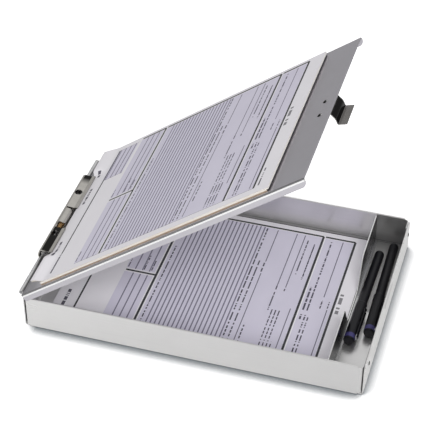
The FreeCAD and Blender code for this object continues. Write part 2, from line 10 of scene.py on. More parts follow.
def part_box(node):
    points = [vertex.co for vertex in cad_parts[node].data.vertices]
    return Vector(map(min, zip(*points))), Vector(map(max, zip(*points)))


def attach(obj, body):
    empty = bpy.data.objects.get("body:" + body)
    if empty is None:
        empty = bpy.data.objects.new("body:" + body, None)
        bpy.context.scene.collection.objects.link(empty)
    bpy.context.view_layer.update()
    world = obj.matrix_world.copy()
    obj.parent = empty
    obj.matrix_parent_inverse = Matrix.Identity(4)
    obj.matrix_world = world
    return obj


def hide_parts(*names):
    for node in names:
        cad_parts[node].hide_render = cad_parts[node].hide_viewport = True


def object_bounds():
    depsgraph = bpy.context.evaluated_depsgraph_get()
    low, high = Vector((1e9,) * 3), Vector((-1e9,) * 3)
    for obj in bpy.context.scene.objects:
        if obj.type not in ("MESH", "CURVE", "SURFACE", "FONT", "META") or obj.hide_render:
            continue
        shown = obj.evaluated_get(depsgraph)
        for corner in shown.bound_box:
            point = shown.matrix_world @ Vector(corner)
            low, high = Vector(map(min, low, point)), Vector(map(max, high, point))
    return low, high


# Looks for a storage clipboard: an aluminium tray with a hinged lid, a spring clip, a pad of
# printed forms, a spring latch and two pens.  Lengths are metres; MM turns millimetres to metres.
# The metal parts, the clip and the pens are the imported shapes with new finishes.  The paper and
# the chipboard are built here as separate curved sheets.

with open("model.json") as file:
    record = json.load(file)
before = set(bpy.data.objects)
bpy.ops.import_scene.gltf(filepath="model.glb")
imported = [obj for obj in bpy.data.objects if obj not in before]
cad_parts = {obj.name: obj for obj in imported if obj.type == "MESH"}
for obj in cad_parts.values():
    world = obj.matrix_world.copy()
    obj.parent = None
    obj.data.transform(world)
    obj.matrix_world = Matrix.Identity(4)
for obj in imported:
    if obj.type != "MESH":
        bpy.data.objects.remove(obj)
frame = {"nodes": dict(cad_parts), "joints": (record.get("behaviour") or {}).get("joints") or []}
cad_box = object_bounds()

MM = 0.001
SEED = 11

# --- Paper (mm) ---------------------------------------------------------------------------------
# The lowest slices stop short of the pad's free end by the recess.  The curls and the tuck are
# shifts (x, y, z) of the hinge-end corners beside the clip.
SHEET_THICK = 0.11
PAD_SLICES = 7
STACK_SLICES = 4
SLICE_JITTER = 0.22
RECESS = 2.4
RECESSED_SLICES = 3
CURL_REACH = 17.0
CURL_SPREAD = 16.0
NEAR_CURL = (2.0, 0.0, 5.2)
FAR_CURL = (-1.3, -4.2, 4.4)
CORNER_TUCK = (9.0, 0.0, 0.0)
CLIP_OVERLAP = 2.0
LOOSE_SHEETS = 3
TRAY_PRINT_SHIFT = (2.0, 1.8)
# The tray's printed form is lightened by this gain, as painted light.
TRAY_PAPER_PAINTED_LIGHT = 1.10

# --- Metal and pens (mm) ------------------------------------------------------------------------
# The lines are stripes of painted shade and highlight on the metal, for mirrored edges and cards.
SHEET_METAL = 1.0
CORNER_GLEAM = 0.35
GAP_WIDTH = 1.6
LID_DARK_LINE = 1.2
LID_BRIGHT_LINE = 2.8
LID_FLANGE = 1.4
DIVIDER_LINE = 2.6
DIVIDER_FOOT = 2.0
TRAY_BEND = 2.4
PEN_CLIP_ROOT = 3.5

# --- Finishes -------------------------------------------------------------------------------------
# Colours for scratches, painted highlights, painted shade and painted reflections of black cards.
BRIGHT_METAL = (0.90, 0.90, 0.90)
DARK_SHADE_AND_REFLECTION = (0.035, 0.034, 0.040)
CARD_DARKNESS = 0.035

# --- Camera -----------------------------------------------------------------------------------
CAMERA_AZIMUTH = 16.3
CAMERA_ELEVATION = 39.3
CAMERA_ROLL = -0.15
CAMERA_DISTANCE = 1.529
CAMERA_TARGET = (-0.0236, 0.0548, 0.040)
CAMERA_LENS = 127.8
SENSOR = 36.0

# --- Light (relative strengths; metres and watts) -------------------------------------------------
ROOM_LIGHT = 0.46
HORIZON_LIGHT = 0.34
SKY_LIGHT = 0.80
FLOOR_BOUNCE = 0.86
# The floor's colours as the camera sees it; the shadow colour is a painted contact shadow.
FLOOR_SEEN = (1.60, 1.60, 1.60)
FLOOR_SHADOW = (0.21, 0.23, 0.25)
SHADOW_REACH = 0.021
KEY_WATTS = 6.0
FRONT_WATTS = 42.0
GLINT_WATTS = 3.0


# --- Places taken from the frame ---------------------------------------------------------------
def joint(name):
    """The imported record's joint of that name."""
    return next(j for j in frame["joints"] if j["name"] == name)


def lid_space():
    """Matrix from the lid's own axes, with the origin on the hinge, to the open lid at rest."""
    hinge = joint("lid_hinge")
    open_angle = -math.radians(hinge["range_deg"][0])
    return Matrix.Translation(Vector(hinge["pos_m"])) @ Matrix.Rotation(-open_angle, 4, "Y")


def box_in(node, space):
    """Lowest and highest corner of a CAD node along the axes of another space."""
    inverse = np.array(space.inverted())
    points = np.array([v.co for v in frame["nodes"][node].data.vertices])
    local = points @ inverse[:3, :3].T + inverse[:3, 3]
    return Vector(local.min(0)), Vector(local.max(0))


LID = lid_space()
TRAY = Matrix.Identity(4)


def smooth(x):
    """Smooth step from 0 to 1."""
    x = min(1.0, max(0.0, x))
    return x * x * (3.0 - 2.0 * x)


def scaled(colour, gain):
    """A colour times a gain."""
    return tuple(c * gain for c in colour)


# --- Node graphs --------------------------------------------------------------------------------
class Graph:
    """Adds nodes to a material and links them, with plain numbers or sockets as inputs."""

    def __init__(self, name, slot_name):
        self.material = bpy.data.materials.new(name)
        self.material.use_nodes = True
        self.material["slot"] = slot_name
        self.nodes = self.material.node_tree.nodes
        self.links = self.material.node_tree.links
        self.shader = self.nodes["Principled BSDF"]

    def feed(self, socket, value):
        """Link a socket, or set a plain value."""
        if isinstance(value, bpy.types.NodeSocket):
            self.links.new(value, socket)
        elif value is not None:
            if socket.type == "RGBA" and len(value) == 3:
                value = (*value, 1.0)
            socket.default_value = value

    def set(self, **values):
        """Inputs of the main shader, by name with _ for a space."""
        for name, value in values.items():
            self.feed(self.shader.inputs[name.replace("_", " ")], value)

    def math(self, operation, a, b=None, clamp=False):
        """One arithmetic node."""
        node = self.nodes.new("ShaderNodeMath")
        node.operation = operation
        node.use_clamp = clamp
        self.feed(node.inputs[0], a)
        self.feed(node.inputs[1], b)
        return node.outputs[0]

    def both(self, first, *others):
        """Product of masks."""
        for other in others:
            first = self.math("MULTIPLY", first, other)
        return first

    def vector(self, operation, a, b=None):
        """One vector node."""
        node = self.nodes.new("ShaderNodeVectorMath")
        node.operation = operation
        self.feed(node.inputs[0], a)
        self.feed(node.inputs[1], b)
        return node.outputs["Value"] if operation in ("LENGTH", "DOT_PRODUCT") else node.outputs[0]

    def split(self, vector):
        """The three components of a vector."""
        node = self.nodes.new("ShaderNodeSeparateXYZ")
        self.feed(node.inputs[0], vector)
        return node.outputs

    def join(self, x, y, z=0.0):
        """A vector from three components."""
        node = self.nodes.new("ShaderNodeCombineXYZ")
        for socket, value in zip(node.inputs, (x, y, z)):
            self.feed(socket, value)
        return node.outputs[0]

    def mix(self, factor, a, b):
        """Colour a at factor 0 and colour b at factor 1."""
        node = self.nodes.new("ShaderNodeMix")
        node.data_type = "RGBA"
        self.feed(node.inputs["Factor"], factor)
        self.feed(node.inputs[6], a)
        self.feed(node.inputs[7], b)
        return node.outputs[2]

    def spread(self, value, low, high, to_low=0.0, to_high=1.0, shape="LINEAR"):
        """Map the range low..high to to_low..to_high, clamped."""
        node = self.nodes.new("ShaderNodeMapRange")
        node.interpolation_type = shape
        for socket, number in zip(node.inputs, (value, low, high, to_low, to_high)):
            self.feed(socket, number)
        return node.outputs[0]

    def place(self, scale=(1.0, 1.0, 1.0), turn=0.0):
        """The piece's own coordinates, turned about Y and stretched."""
        node = self.nodes.new("ShaderNodeTexCoord")
        mapping = self.nodes.new("ShaderNodeMapping")
        mapping.vector_type = "POINT"
        turned = node.outputs["Object"]
        if turn:
            rotate = self.nodes.new("ShaderNodeVectorRotate")
            rotate.rotation_type = "Y_AXIS"
            self.feed(rotate.inputs["Vector"], turned)
            rotate.inputs["Angle"].default_value = turn
            turned = rotate.outputs[0]
        self.feed(mapping.inputs["Vector"], turned)
        mapping.inputs["Scale"].default_value = scale
        return mapping.outputs[0]

    def noise(self, vector, scale, detail=3.0, roughness=0.55):
        """Noise between 0 and 1."""
        node = self.nodes.new("ShaderNodeTexNoise")
        self.feed(node.inputs["Vector"], vector)
        node.inputs["Scale"].default_value = scale
        node.inputs["Detail"].default_value = detail
        node.inputs["Roughness"].default_value = roughness
        return node.outputs[0]

    def random(self, vector):
        """A random number for each whole-number vector."""
        node = self.nodes.new("ShaderNodeTexWhiteNoise")
        node.noise_dimensions = "3D"
        self.feed(node.inputs["Vector"], vector)
        return node.outputs["Value"]

    def bump(self, height, strength, distance):
        """Normal from a height."""
        node = self.nodes.new("ShaderNodeBump")
        node.inputs["Strength"].default_value = strength
        node.inputs["Distance"].default_value = distance
        self.feed(node.inputs["Height"], height)
        return node.outputs[0]

    def mirrored(self):
        """Direction of the mirror reflection, as x, y and z."""
        return self.split(self.nodes.new("ShaderNodeTexCoord").outputs["Reflection"])

    def position(self):
        """Place in the scene, in metres, as x, y and z."""
        return self.split(self.nodes.new("ShaderNodeNewGeometry").outputs["Position"])

    def crevice_shade(self, distance):
        """Painted shade mask: 1 deep in gaps and folds narrower than about the distance, 0 on open
        faces.
        """
        node = self.nodes.new("ShaderNodeAmbientOcclusion")
        node.samples = 6
        node.inputs["Distance"].default_value = distance
        return self.spread(node.outputs["AO"], 0.62, 0.20)

    def recess(self, s):
        """1 on the end faces of sheets that stop short of the pad's free end."""
        faces_end = self.split(self.nodes.new("ShaderNodeTexCoord").outputs["Normal"])[0]
        deep = self.math("GREATER_THAN", s, 0.5 * RECESS)
        return self.both(deep, self.math("GREATER_THAN", faces_end, 0.5))

    def edge(self, radius):
        """1 along convex and concave edges, 0 on flat faces, with the rounded normal."""
        bevel = self.nodes.new("ShaderNodeBevel")
        bevel.samples = 4
        bevel.inputs["Radius"].default_value = radius
        geometry = self.nodes.new("ShaderNodeNewGeometry")
        same = self.vector("DOT_PRODUCT", bevel.outputs[0], geometry.outputs["Normal"])
        return self.spread(same, 0.998, 0.90), bevel.outputs[0]


# --- Metals -------------------------------------------------------------------------------------
def aluminium(name, slot_name, colour, roughness, turn=0.0, wear_and_sheen=0.3, shade=None):
    """Satin sheet: fine brushing along the length, handling marks, edges lightened as wear and as
    painted highlight, and painted shade in crevices.

    shade(g, base, rough) may return another base colour, with painted light and shade, and roughness for
    some faces.
    """
    g = Graph(name, slot_name)
    brushed = g.noise(g.place((9.0, 1500.0, 1500.0), turn), 1.0, 2.0, 0.6)
    clouds = g.noise(g.place((1.0, 1.0, 1.0), turn), 22.0, 4.0, 0.6)
    smears = g.noise(g.place((1.0, 3.0, 3.0), turn), 9.0, 3.0, 0.5)
    scratch = g.noise(g.place((14.0, 700.0, 700.0), turn + 0.12), 1.0, 1.0, 0.4)
    scratch = g.spread(scratch, 0.72, 0.80)
    edges, rounded = g.edge(CORNER_GLEAM * MM)
    grain = g.math("ADD", g.math("MULTIPLY", brushed, 0.06), g.math("MULTIPLY", clouds, 0.08))
    dark = scaled(colour, 0.96)
    light = tuple(min(1.0, c * 1.05) for c in colour)
    base = g.mix(g.spread(grain, 0.04, 0.11), dark, light)
    rough = g.math("ADD", g.math("MULTIPLY", smears, 0.12), roughness - 0.06)
    if shade:
        base, rough = shade(g, base, rough)
    # Edges lightened towards white, as wear and as painted highlight.
    base = g.mix(g.math("MULTIPLY", edges, wear_and_sheen), base, (0.93, 0.93, 0.93))
    base = g.mix(g.math("MULTIPLY", scratch, 0.12), base, BRIGHT_METAL)
    # Painted shade: darker in crevices, folds and slits.
    base = g.mix(g.math("MULTIPLY", g.crevice_shade(GAP_WIDTH * MM), 0.9), base, (0.03, 0.03, 0.035))
    normal = g.bump(brushed, 0.05, 0.03 * MM)
    g.links.new(rounded, normal.node.inputs["Normal"])
    g.set(Base_Color=base, Metallic=0.9, Roughness=rough, Normal=normal)
    g.shader.inputs["Anisotropic"].default_value = 0.25
    return g.material


def facing(g):
    """The face's own direction, as x, y and z."""
    return g.split(g.nodes.new("ShaderNodeNewGeometry").outputs["True Normal"])


def divider_shade(g, base, rough):
    """Right side with a painted reflection of the dark pens, a painted dark line under a painted
    highlight on the top edge and the back, and a foot with painted shade towards the far wall.
    """
    low, high = (v.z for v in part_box("divider"))
    normal = facing(g)
    _, y, height = g.position()
    right = g.math("GREATER_THAN", normal[0], 0.5)
    # Painted reflection of the dark pens on the right side, darker towards the near end.
    dark = g.mix(g.spread(y, 0.05, -0.02), (0.20, 0.20, 0.21), (0.030, 0.030, 0.033))
    base = g.mix(g.spread(g.mirrored()[1], 0.25, 0.50), base, dark)
    dim = g.both(right, g.spread(y, 0.06, -0.01))
    g.set(Specular_Tint=g.mix(dim, (1.0, 1.0, 1.0), (0.66, 0.66, 0.66)))
    # Painted shade: a dark line under the top edge on the right side.
    line = g.math("GREATER_THAN", height, high - DIVIDER_LINE * MM)
    base = g.mix(g.math("MULTIPLY", g.both(right, line), 0.9), base, (0.02, 0.02, 0.02))
    foot_top = low + DIVIDER_FOOT * MM
    foot = g.both(g.math("GREATER_THAN", normal[2], 0.7), g.math("LESS_THAN", height, foot_top))
    # Painted shade: the foot darker towards the far wall.
    foot_colour = g.mix(g.spread(y, 0.06, -0.02), (0.42, 0.42, 0.43), (0.75, 0.75, 0.75))
    base = g.mix(foot, base, foot_colour)
    # Painted highlight on the top edge and on the back face.
    edge = g.both(g.math("GREATER_THAN", normal[2], 0.3), g.math("GREATER_THAN", height, foot_top))
    back = g.math("LESS_THAN", normal[0], -0.5)
    return g.mix(g.math("MAXIMUM", edge, back), base, BRIGHT_METAL), rough


def pocket_shade(g, base, rough):
    """Painted shade and painted reflection at the far end of the pen compartment, a painted shadow in
    the gap behind the loose forms, and painted shade darkening the front wall towards the right.
    """
    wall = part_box("tray_pan")[1].y - SHEET_METAL * MM
    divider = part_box("divider")[0].x
    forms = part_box("forms_stack")[1].y
    x, y, height = g.position()
    normal = facing(g)
    within = g.both(g.math("GREATER_THAN", height, 0.6 * MM), g.math("LESS_THAN", y, wall + 0.2 * MM))
    inner = g.both(within, g.math("GREATER_THAN", y, 0.0))
    bend = g.math("LESS_THAN", height, TRAY_BEND * MM)
    floor = g.both(g.math("GREATER_THAN", normal[2], 0.5), g.math("LESS_THAN", height, 3.0 * MM))
    side = g.math("LESS_THAN", normal[1], -0.5)
    pens = g.math("GREATER_THAN", x, divider)
    # Painted shade and painted reflection: floor and wall darker towards the far end of the pens.
    depth = g.spread(y, wall - 0.040, wall - 0.002, 0.0, 0.55)
    low = g.spread(height, 0.024, 0.004, 0.12, 0.50)
    foot = g.both(bend, g.spread(y, wall - 2.4 * MM, wall - 1.6 * MM, 0.0, 0.72))
    pocket = g.math("MAXIMUM", g.both(floor, depth), g.both(side, low))
    pocket = g.both(g.math("MAXIMUM", pocket, foot), pens)
    # Painted shadow in the gap between the loose forms and the far wall.
    behind = g.both(g.math("GREATER_THAN", y, forms - 1.0 * MM), g.math("LESS_THAN", x, divider))
    gap = g.both(bend, g.spread(y, wall - 2.6 * MM, wall - 2.0 * MM, 0.96, 0.30))
    dark = g.both(inner, g.math("MAXIMUM", pocket, g.both(behind, gap)))
    dull = g.both(side, inner, g.spread(height, 0.018, 0.008))
    dull = g.math("MAXIMUM", dull, g.both(inner, bend))
    rough = g.math("MAXIMUM", rough, g.math("MULTIPLY", dull, 0.70))
    # Painted shade: the outer front wall darker towards its right end.
    front = g.both(side, g.math("LESS_THAN", y, 0.0))
    base = g.mix(g.both(front, g.spread(x, -0.10, 0.16, 0.0, 0.22)), base, (0.40, 0.40, 0.41))
    return g.mix(dark, base, DARK_SHADE_AND_REFLECTION), rough


def lid_shade(g, base, rough):
    """Painted shade on a strip at the hinge; painted dark line and highlight on the near flange's bend.
    """
    across = g.split(g.place())
    slope = -math.radians(joint("lid_hinge")["range_deg"][0])
    pivot = Vector(joint("lid_hinge")["pos_m"])
    right = g.math("SUBTRACT", across[0], pivot.x)
    up = g.math("SUBTRACT", across[2], pivot.z)
    cosine, sine = math.cos(slope), math.sin(slope)
    along_lid = g.math("ADD", g.math("MULTIPLY", right, cosine), g.math("MULTIPLY", up, sine))
    above_lid = g.math("SUBTRACT", g.math("MULTIPLY", up, cosine), g.math("MULTIPLY", right, sine))
    low, high = box_in("lid_panel", LID)
    # Painted shade on the lid's upward faces near the hinge.
    near_hinge = g.spread(along_lid, 0.034, 0.016, 0.0, 0.55)
    upward = g.math("GREATER_THAN", facing(g)[2], 0.3)
    base = g.mix(g.both(near_hinge, upward), base, (0.06, 0.06, 0.065))
    # Painted dark line and painted highlight along the bend of the near flange.
    flange = g.math("LESS_THAN", across[1], low.y + LID_FLANGE * MM)
    crease = g.both(flange, g.math("GREATER_THAN", above_lid, high.z - LID_DARK_LINE * MM))
    bright = g.both(flange, g.math("GREATER_THAN", above_lid, high.z - LID_BRIGHT_LINE * MM))
    base = g.mix(bright, base, (1.0, 1.0, 1.0))
    return g.mix(g.math("MULTIPLY", crease, 0.85), base, (0.05, 0.05, 0.055)), rough


def polished(name, slot_name, colour, roughness, grime=0.0, flag=None):
    """Plated metal: near mirror with dulled patches; flag(g) is 1 on painted reflections of black cards.
    """
    g = Graph(name, slot_name)
    patches = g.noise(g.place(), 90.0, 4.0, 0.6)
    fine = g.noise(g.place((60.0, 4000.0, 60.0)), 1.0, 2.0)
    edges, rounded = g.edge(0.2 * MM)
    dull = scaled(colour, 1.0 - grime)
    base = g.mix(g.spread(patches, 0.42, 0.62), colour, dull)
    # Painted highlight along edges.
    base = g.mix(g.math("MULTIPLY", edges, 0.35), base, (0.9, 0.9, 0.9))
    # Painted dark reflection where flag(g) is 1.
    if flag:
        base = g.mix(flag(g), base, scaled(colour, CARD_DARKNESS))
    # Painted shade: darker in crevices.
    base = g.mix(g.math("MULTIPLY", g.crevice_shade(1.5 * MM), 0.8), base, (0.02, 0.02, 0.02))
    marks = g.math("ADD", g.math("MULTIPLY", patches, 0.06), g.math("MULTIPLY", fine, 0.04))
    rough = g.math("ADD", marks, roughness - 0.03)
    g.set(Base_Color=base, Metallic=1.0, Roughness=rough, Normal=rounded)
    return g.material


def jaw_flag(g):
    """Painted reflection of black cards behind the camera's view on the clip's near half and far tip."""
    mirror = g.mirrored()
    y = g.position()[1]
    near = g.spread(y, -0.016, -0.020)
    far = g.spread(y, 0.049, 0.058)
    card = g.math("MAXIMUM", near, far)
    upward = g.spread(mirror[2], 0.49, 0.53)
    backward = g.spread(mirror[1], 0.25, 0.40)
    return g.both(card, g.both(upward, backward))


def side_flag(g):
    """Painted reflection of a black card on the right, near the horizon."""
    mirror = g.mirrored()
    level = g.spread(g.math("ABSOLUTE", mirror[2]), 0.62, 0.50)
    return g.both(level, g.spread(mirror[0], 0.10, 0.25))


def dome_flag(g):
    """Painted reflection of a black card on the left, which darkens one side of small domed heads."""
    return g.spread(g.mirrored()[0], -0.25, -0.60)


def rim_flag(g):
    """Painted reflection: a dark rim around the bright middle of a dome whose axis lies along X."""
    return g.spread(g.math("ABSOLUTE", facing(g)[0]), 0.985, 0.93)


# --- Plastics -----------------------------------------------------------------------------------
def gloss_plastic(name, slot_name, colour, roughness, bare_to=None):
    """Moulded glossy plastic with a slight orange peel; bare metal where Y is below bare_to."""
    g = Graph(name, slot_name)
    peel = g.noise(g.place(), 900.0, 2.0)
    smears = g.noise(g.place((1.0, 0.4, 1.0)), 130.0, 4.0, 0.6)
    light = tuple(c * 1.5 + 0.004 for c in colour)
    base = g.mix(g.spread(smears, 0.35, 0.75), colour, light)
    rough = g.spread(smears, 0.3, 0.8, roughness, roughness + 0.14)
    if bare_to is not None:
        bare = g.math("LESS_THAN", g.position()[1], bare_to)
        g.set(Metallic=bare)
        base = g.mix(bare, base, (0.70, 0.70, 0.72))
    g.set(Base_Color=base, Roughness=rough, Normal=g.bump(peel, 0.06, 0.03 * MM))
    g.shader.inputs["Specular IOR Level"].default_value = 0.3
    return g.material


# --- Printed form -------------------------------------------------------------------------------
# The form is laid out in (s, t) millimetres: s runs from the sheet's free end towards the hinge
# and t from its far side to its near side.  Words are plain dashes and hold no lettering.
FORM_FAR = 5.5
FORM_NEAR = 207.5
FRAME_S = (18.2, 51.2, 197.6)
HEAVY = 2.3
THIN = 0.95
RULE_WIDTH = 1.35
RULES = (112.0, 190.0, 4.33)
RULED_S = (100.0, 196.0)
SMALL_RULES = (205.0, 226.0, 7.3)
SMALL_WIDTH = 1.3
CORNER_RULES = (236.0, 258.0, 6.8)
CORNER_WIDTH = 1.4
ROW_OF_DASHES = 30.0
WORD_DASH = 1.3
WORD_GAPS = 0.26
HEADING_DASH = 2.4
HEADING_GAPS = 0.25
MARGIN_COLOURS = ((0.755, 0.738, 0.772), (0.795, 0.778, 0.810))
TINT_COLOURS = ((0.600, 0.575, 0.680), (0.660, 0.635, 0.735))


def area(s0, s1, t0, t1):
    """Rectangle of the form as (centre, half size)."""
    return ((s0 + s1) / 2.0, (t0 + t1) / 2.0), (abs(s1 - s0) / 2.0, abs(t1 - t0) / 2.0)


def across(s, t0=FORM_FAR, t1=FORM_NEAR, width=THIN):
    """Straight line along t at a distance s from the free end."""
    return area(s - width / 2.0, s + width / 2.0, t0, t1)


def along(t, s0, s1, width=THIN):
    """Straight line along s."""
    return area(s0, s1, t - width / 2.0, t + width / 2.0)


TINTED = [
    area(19.6, 48.8, 7.6, FORM_NEAR),
    area(52.4, 195.2, 7.6, FORM_NEAR),
    area(200.0, 229.6, 7.6, 107.4),
    area(200.0, 229.6, 113.2, FORM_NEAR),
    area(234.0, 261.0, 9.0, 61.0),
]
HEAVY_LINES = [across(s, width=HEAVY) for s in FRAME_S]
HEAVY_LINES += [
    along(FORM_FAR, 18.2, 49.0, HEAVY),
    along(FORM_FAR, 51.2, 195.5, HEAVY),
    along(FORM_FAR, 197.6, 229.0, HEAVY),
    along(110.4, 197.6, 229.0, HEAVY),
    across(259.4, 9.0, 178.0, 1.8),
]
THIN_LINES = [
    across(30.2, 9.0, 95.0),
    across(23.2, 112.0, 205.0),
    across(57.5, 120.0, 178.0),
    across(57.5, 20.0, 70.0),
    across(69.6, 9.0, 92.0),
    across(78.2, 9.0, 92.0),
    across(98.4, 9.0, 60.0),
    across(98.4, 78.0, 205.0),
    along(FORM_NEAR, 19.0, 229.0, 0.45),
    along(9.0, 231.5, 262.0, 0.4),
    along(61.0, 234.0, 259.0, 0.4),
]
WORDS = [
    across(41.6, 10.0, 205.0, 1.5),
    across(45.6, 84.0, 132.0, 1.9),
    across(38.4, 126.0, 205.0, 1.3),
    across(30.4, 100.0, 112.0, 1.3),
    across(23.4, 98.0, 110.0, 1.2),
    across(65.0, 16.0, 70.0, 1.3),
    across(57.6, 72.0, 76.0, 1.3),
    across(57.4, 20.0, 72.0, 1.3),
    across(69.8, 94.0, 99.0, 1.3),
    across(78.2, 92.0, 128.0, 1.3),
    across(74.2, 126.0, 205.0, 1.2),
    across(70.6, 126.0, 205.0, 1.2),
    across(67.0, 126.0, 205.0, 1.2),
    across(63.6, 170.0, 205.0, 1.2),
    across(94.6, 152.0, 184.0, 1.4),
    across(99.0, 62.0, 76.0, 1.5),
    across(104.6, 60.0, 205.0, 1.4),
    across(109.6, 9.0, 205.0, 1.5),
    across(191.8, 62.0, 205.0, 1.4),
    across(204.0, 90.0, 106.0, 1.2),
    across(211.5, 84.0, 106.0, 1.2),
    across(228.0, 92.0, 106.0, 1.2),
    across(228.0, 190.0, 205.0, 1.2),
    across(259.8, 179.0, 207.0, 2.2),
    across(271.5, 154.0, 178.0, 3.2),
    across(272.0, 68.0, 94.0, 3.2),
    across(272.6, 35.0, 48.0, 3.2),
    across(13.4, 180.0, 206.0, 1.5),
]
HEADING = [across(13.6, 86.0, 119.0, 3.4)]


def sheet_place(g):
    """Place on a sheet: s, t and 1 on its top side."""
    attribute = g.nodes.new("ShaderNodeAttribute")
    attribute.attribute_name = "sheet_mm"
    return attribute.outputs["Vector"]


def inside(g, point, areas):
    """1 inside any of the areas, 0 outside."""
    nearest = None
    for centre, half in areas:
        offset = g.vector("ABSOLUTE", g.vector("SUBTRACT", point, (*centre, 0.0)))
        gap = g.split(g.vector("SUBTRACT", offset, (*half, 0.0)))
        reach = g.math("MAXIMUM", gap[0], gap[1])
        nearest = reach if nearest is None else g.math("MINIMUM", nearest, reach)
    return g.math("LESS_THAN", nearest, 0.0)


def ruled(g, s, start, stop, pitch, width):
    """1 on evenly spaced lines between two distances from the free end."""
    phase = g.math("FRACT", g.math("DIVIDE", g.math("SUBTRACT", s, start), pitch))
    on = g.math("LESS_THAN", phase, width / pitch)
    within = g.both(g.math("GREATER_THAN", s, start), g.math("LESS_THAN", s, stop))
    return g.both(on, within)


def dashes(g, s, t, length, share):
    """0 on a random share of a row's cells and 1 on the rest, so that a bar reads as small print."""
    column = g.math("FLOOR", g.math("DIVIDE", t, length))
    row = g.math("FLOOR", g.math("DIVIDE", s, ROW_OF_DASHES))
    cell = g.join(column, row)
    return g.math("GREATER_THAN", g.random(cell), share)


def printed_paper(name, gain=1.0):
    """Paper with a printed form on its top side and plain, slightly toned edges; gain lightens the
    form's ground as painted light.
    """
    g = Graph(name, "form_paper")
    point = sheet_place(g)
    s, t, top = g.split(point)
    flat = g.vector("MULTIPLY", point, (1.0, 1.0, 0.0))
    fibre = g.noise(g.place(), 700.0, 3.0, 0.7)
    mottled = g.noise(g.place(), 30.0, 2.0)
    tint = inside(g, flat, TINTED)
    heavy = inside(g, flat, HEAVY_LINES)
    thin = inside(g, flat, THIN_LINES)
    words = inside(g, flat, WORDS)
    heading = inside(g, flat, HEADING)
    rules = ruled(g, s, *RULES, RULE_WIDTH)
    in_rows = inside(g, flat, [area(*RULED_S, 7.5, FORM_NEAR)])
    rules = g.both(rules, in_rows)
    small_rows = inside(g, flat, [TINTED[2], TINTED[3]])
    small = g.both(ruled(g, s, *SMALL_RULES, SMALL_WIDTH), small_rows)
    in_corner = inside(g, flat, [TINTED[4]])
    corner_rows = g.both(ruled(g, s, *CORNER_RULES, CORNER_WIDTH), in_corner)
    words = g.both(words, dashes(g, s, t, WORD_DASH, WORD_GAPS))
    heading = g.both(heading, dashes(g, s, t, HEADING_DASH, HEADING_GAPS))
    margin = g.mix(mottled, *(scaled(colour, gain) for colour in MARGIN_COLOURS))
    lilac = g.mix(mottled, *(scaled(colour, gain) for colour in TINT_COLOURS))
    colour = g.mix(tint, margin, lilac)
    faint = g.math("MAXIMUM", g.math("MAXIMUM", rules, small), corner_rows)
    colour = g.mix(g.math("MULTIPLY", faint, 0.80), colour, (0.10, 0.09, 0.15))
    colour = g.mix(g.math("MULTIPLY", thin, 0.85), colour, (0.08, 0.07, 0.11))
    colour = g.mix(g.math("MULTIPLY", words, 0.92), colour, (0.04, 0.035, 0.06))
    colour = g.mix(g.math("MULTIPLY", heading, 0.75), colour, (0.05, 0.05, 0.06))
    colour = g.mix(g.math("MULTIPLY", heavy, 0.95), colour, (0.012, 0.012, 0.015))
    on_top = g.math("GREATER_THAN", top, 0.98)
    layers = g.noise(g.place((30.0, 30.0, 9000.0)), 1.0, 1.0)
    side = g.mix(g.spread(layers, 0.35, 0.65), (0.80, 0.78, 0.74), (0.90, 0.89, 0.87))
    g.set(
        Base_Color=g.mix(on_top, side, colour),
        Roughness=g.spread(fibre, 0.2, 0.8, 0.55, 0.75),
        Normal=g.bump(fibre, 0.12, 0.03 * MM),
    )
    g.shader.inputs["Specular IOR Level"].default_value = 0.25
    return g.material


def plain_paper(name):
    """Edges of the sheets below the top one: thin layers of cream and white."""
    g = Graph(name, "form_paper")
    s = g.split(sheet_place(g))[0]
    layers = g.noise(g.place((25.0, 25.0, 7000.0)), 1.0, 2.0)
    fibre = g.noise(g.place(), 600.0, 3.0, 0.7)
    warm = g.noise(g.place((6.0, 6.0, 6.0)), 4.0, 2.0)
    cream = g.mix(warm, (0.74, 0.66, 0.56), (0.80, 0.75, 0.68))
    colour = g.mix(g.spread(layers, 0.38, 0.62), cream, (0.86, 0.85, 0.83))
    colour = g.mix(g.spread(s, 0.3, 0.6), (0.90, 0.89, 0.89), colour)
    # Painted shade on the end faces set back in the recess.
    colour = g.mix(g.recess(s), colour, (0.05, 0.045, 0.045))
    g.set(
        Base_Color=colour,
        Roughness=0.7,
        Normal=g.bump(g.math("ADD", layers, fibre), 0.25, 0.05 * MM),
    )
    return g.material


def chipboard(name):
    """Grey-brown board with flecks and a fuzzy cut edge."""
    g = Graph(name, "chipboard")
    s = g.split(sheet_place(g))[0]
    flecks = g.noise(g.place(), 900.0, 4.0, 0.75)
    clouds = g.noise(g.place(), 60.0, 3.0)
    fuzz = g.noise(g.place((1.0, 1.0, 6.0)), 500.0, 4.0, 0.7)
    colour = g.mix(clouds, (0.40, 0.29, 0.20), (0.48, 0.37, 0.26))
    colour = g.mix(g.spread(flecks, 0.60, 0.70), colour, (0.26, 0.20, 0.15))
    # Painted shade on the end face set back in the recess.
    colour = g.mix(g.recess(s), colour, (0.04, 0.035, 0.03))
    g.set(Base_Color=colour, Roughness=0.85, Normal=g.bump(fuzz, 0.4, 0.08 * MM))
    return g.material


# --- Sheets -------------------------------------------------------------------------------------
def grid(low, high, count, ease=1.0):
    """Numbers from low to high, closer together near low when ease is above 1."""
    return [low + (high - low) * (i / (count - 1)) ** ease for i in range(count)]


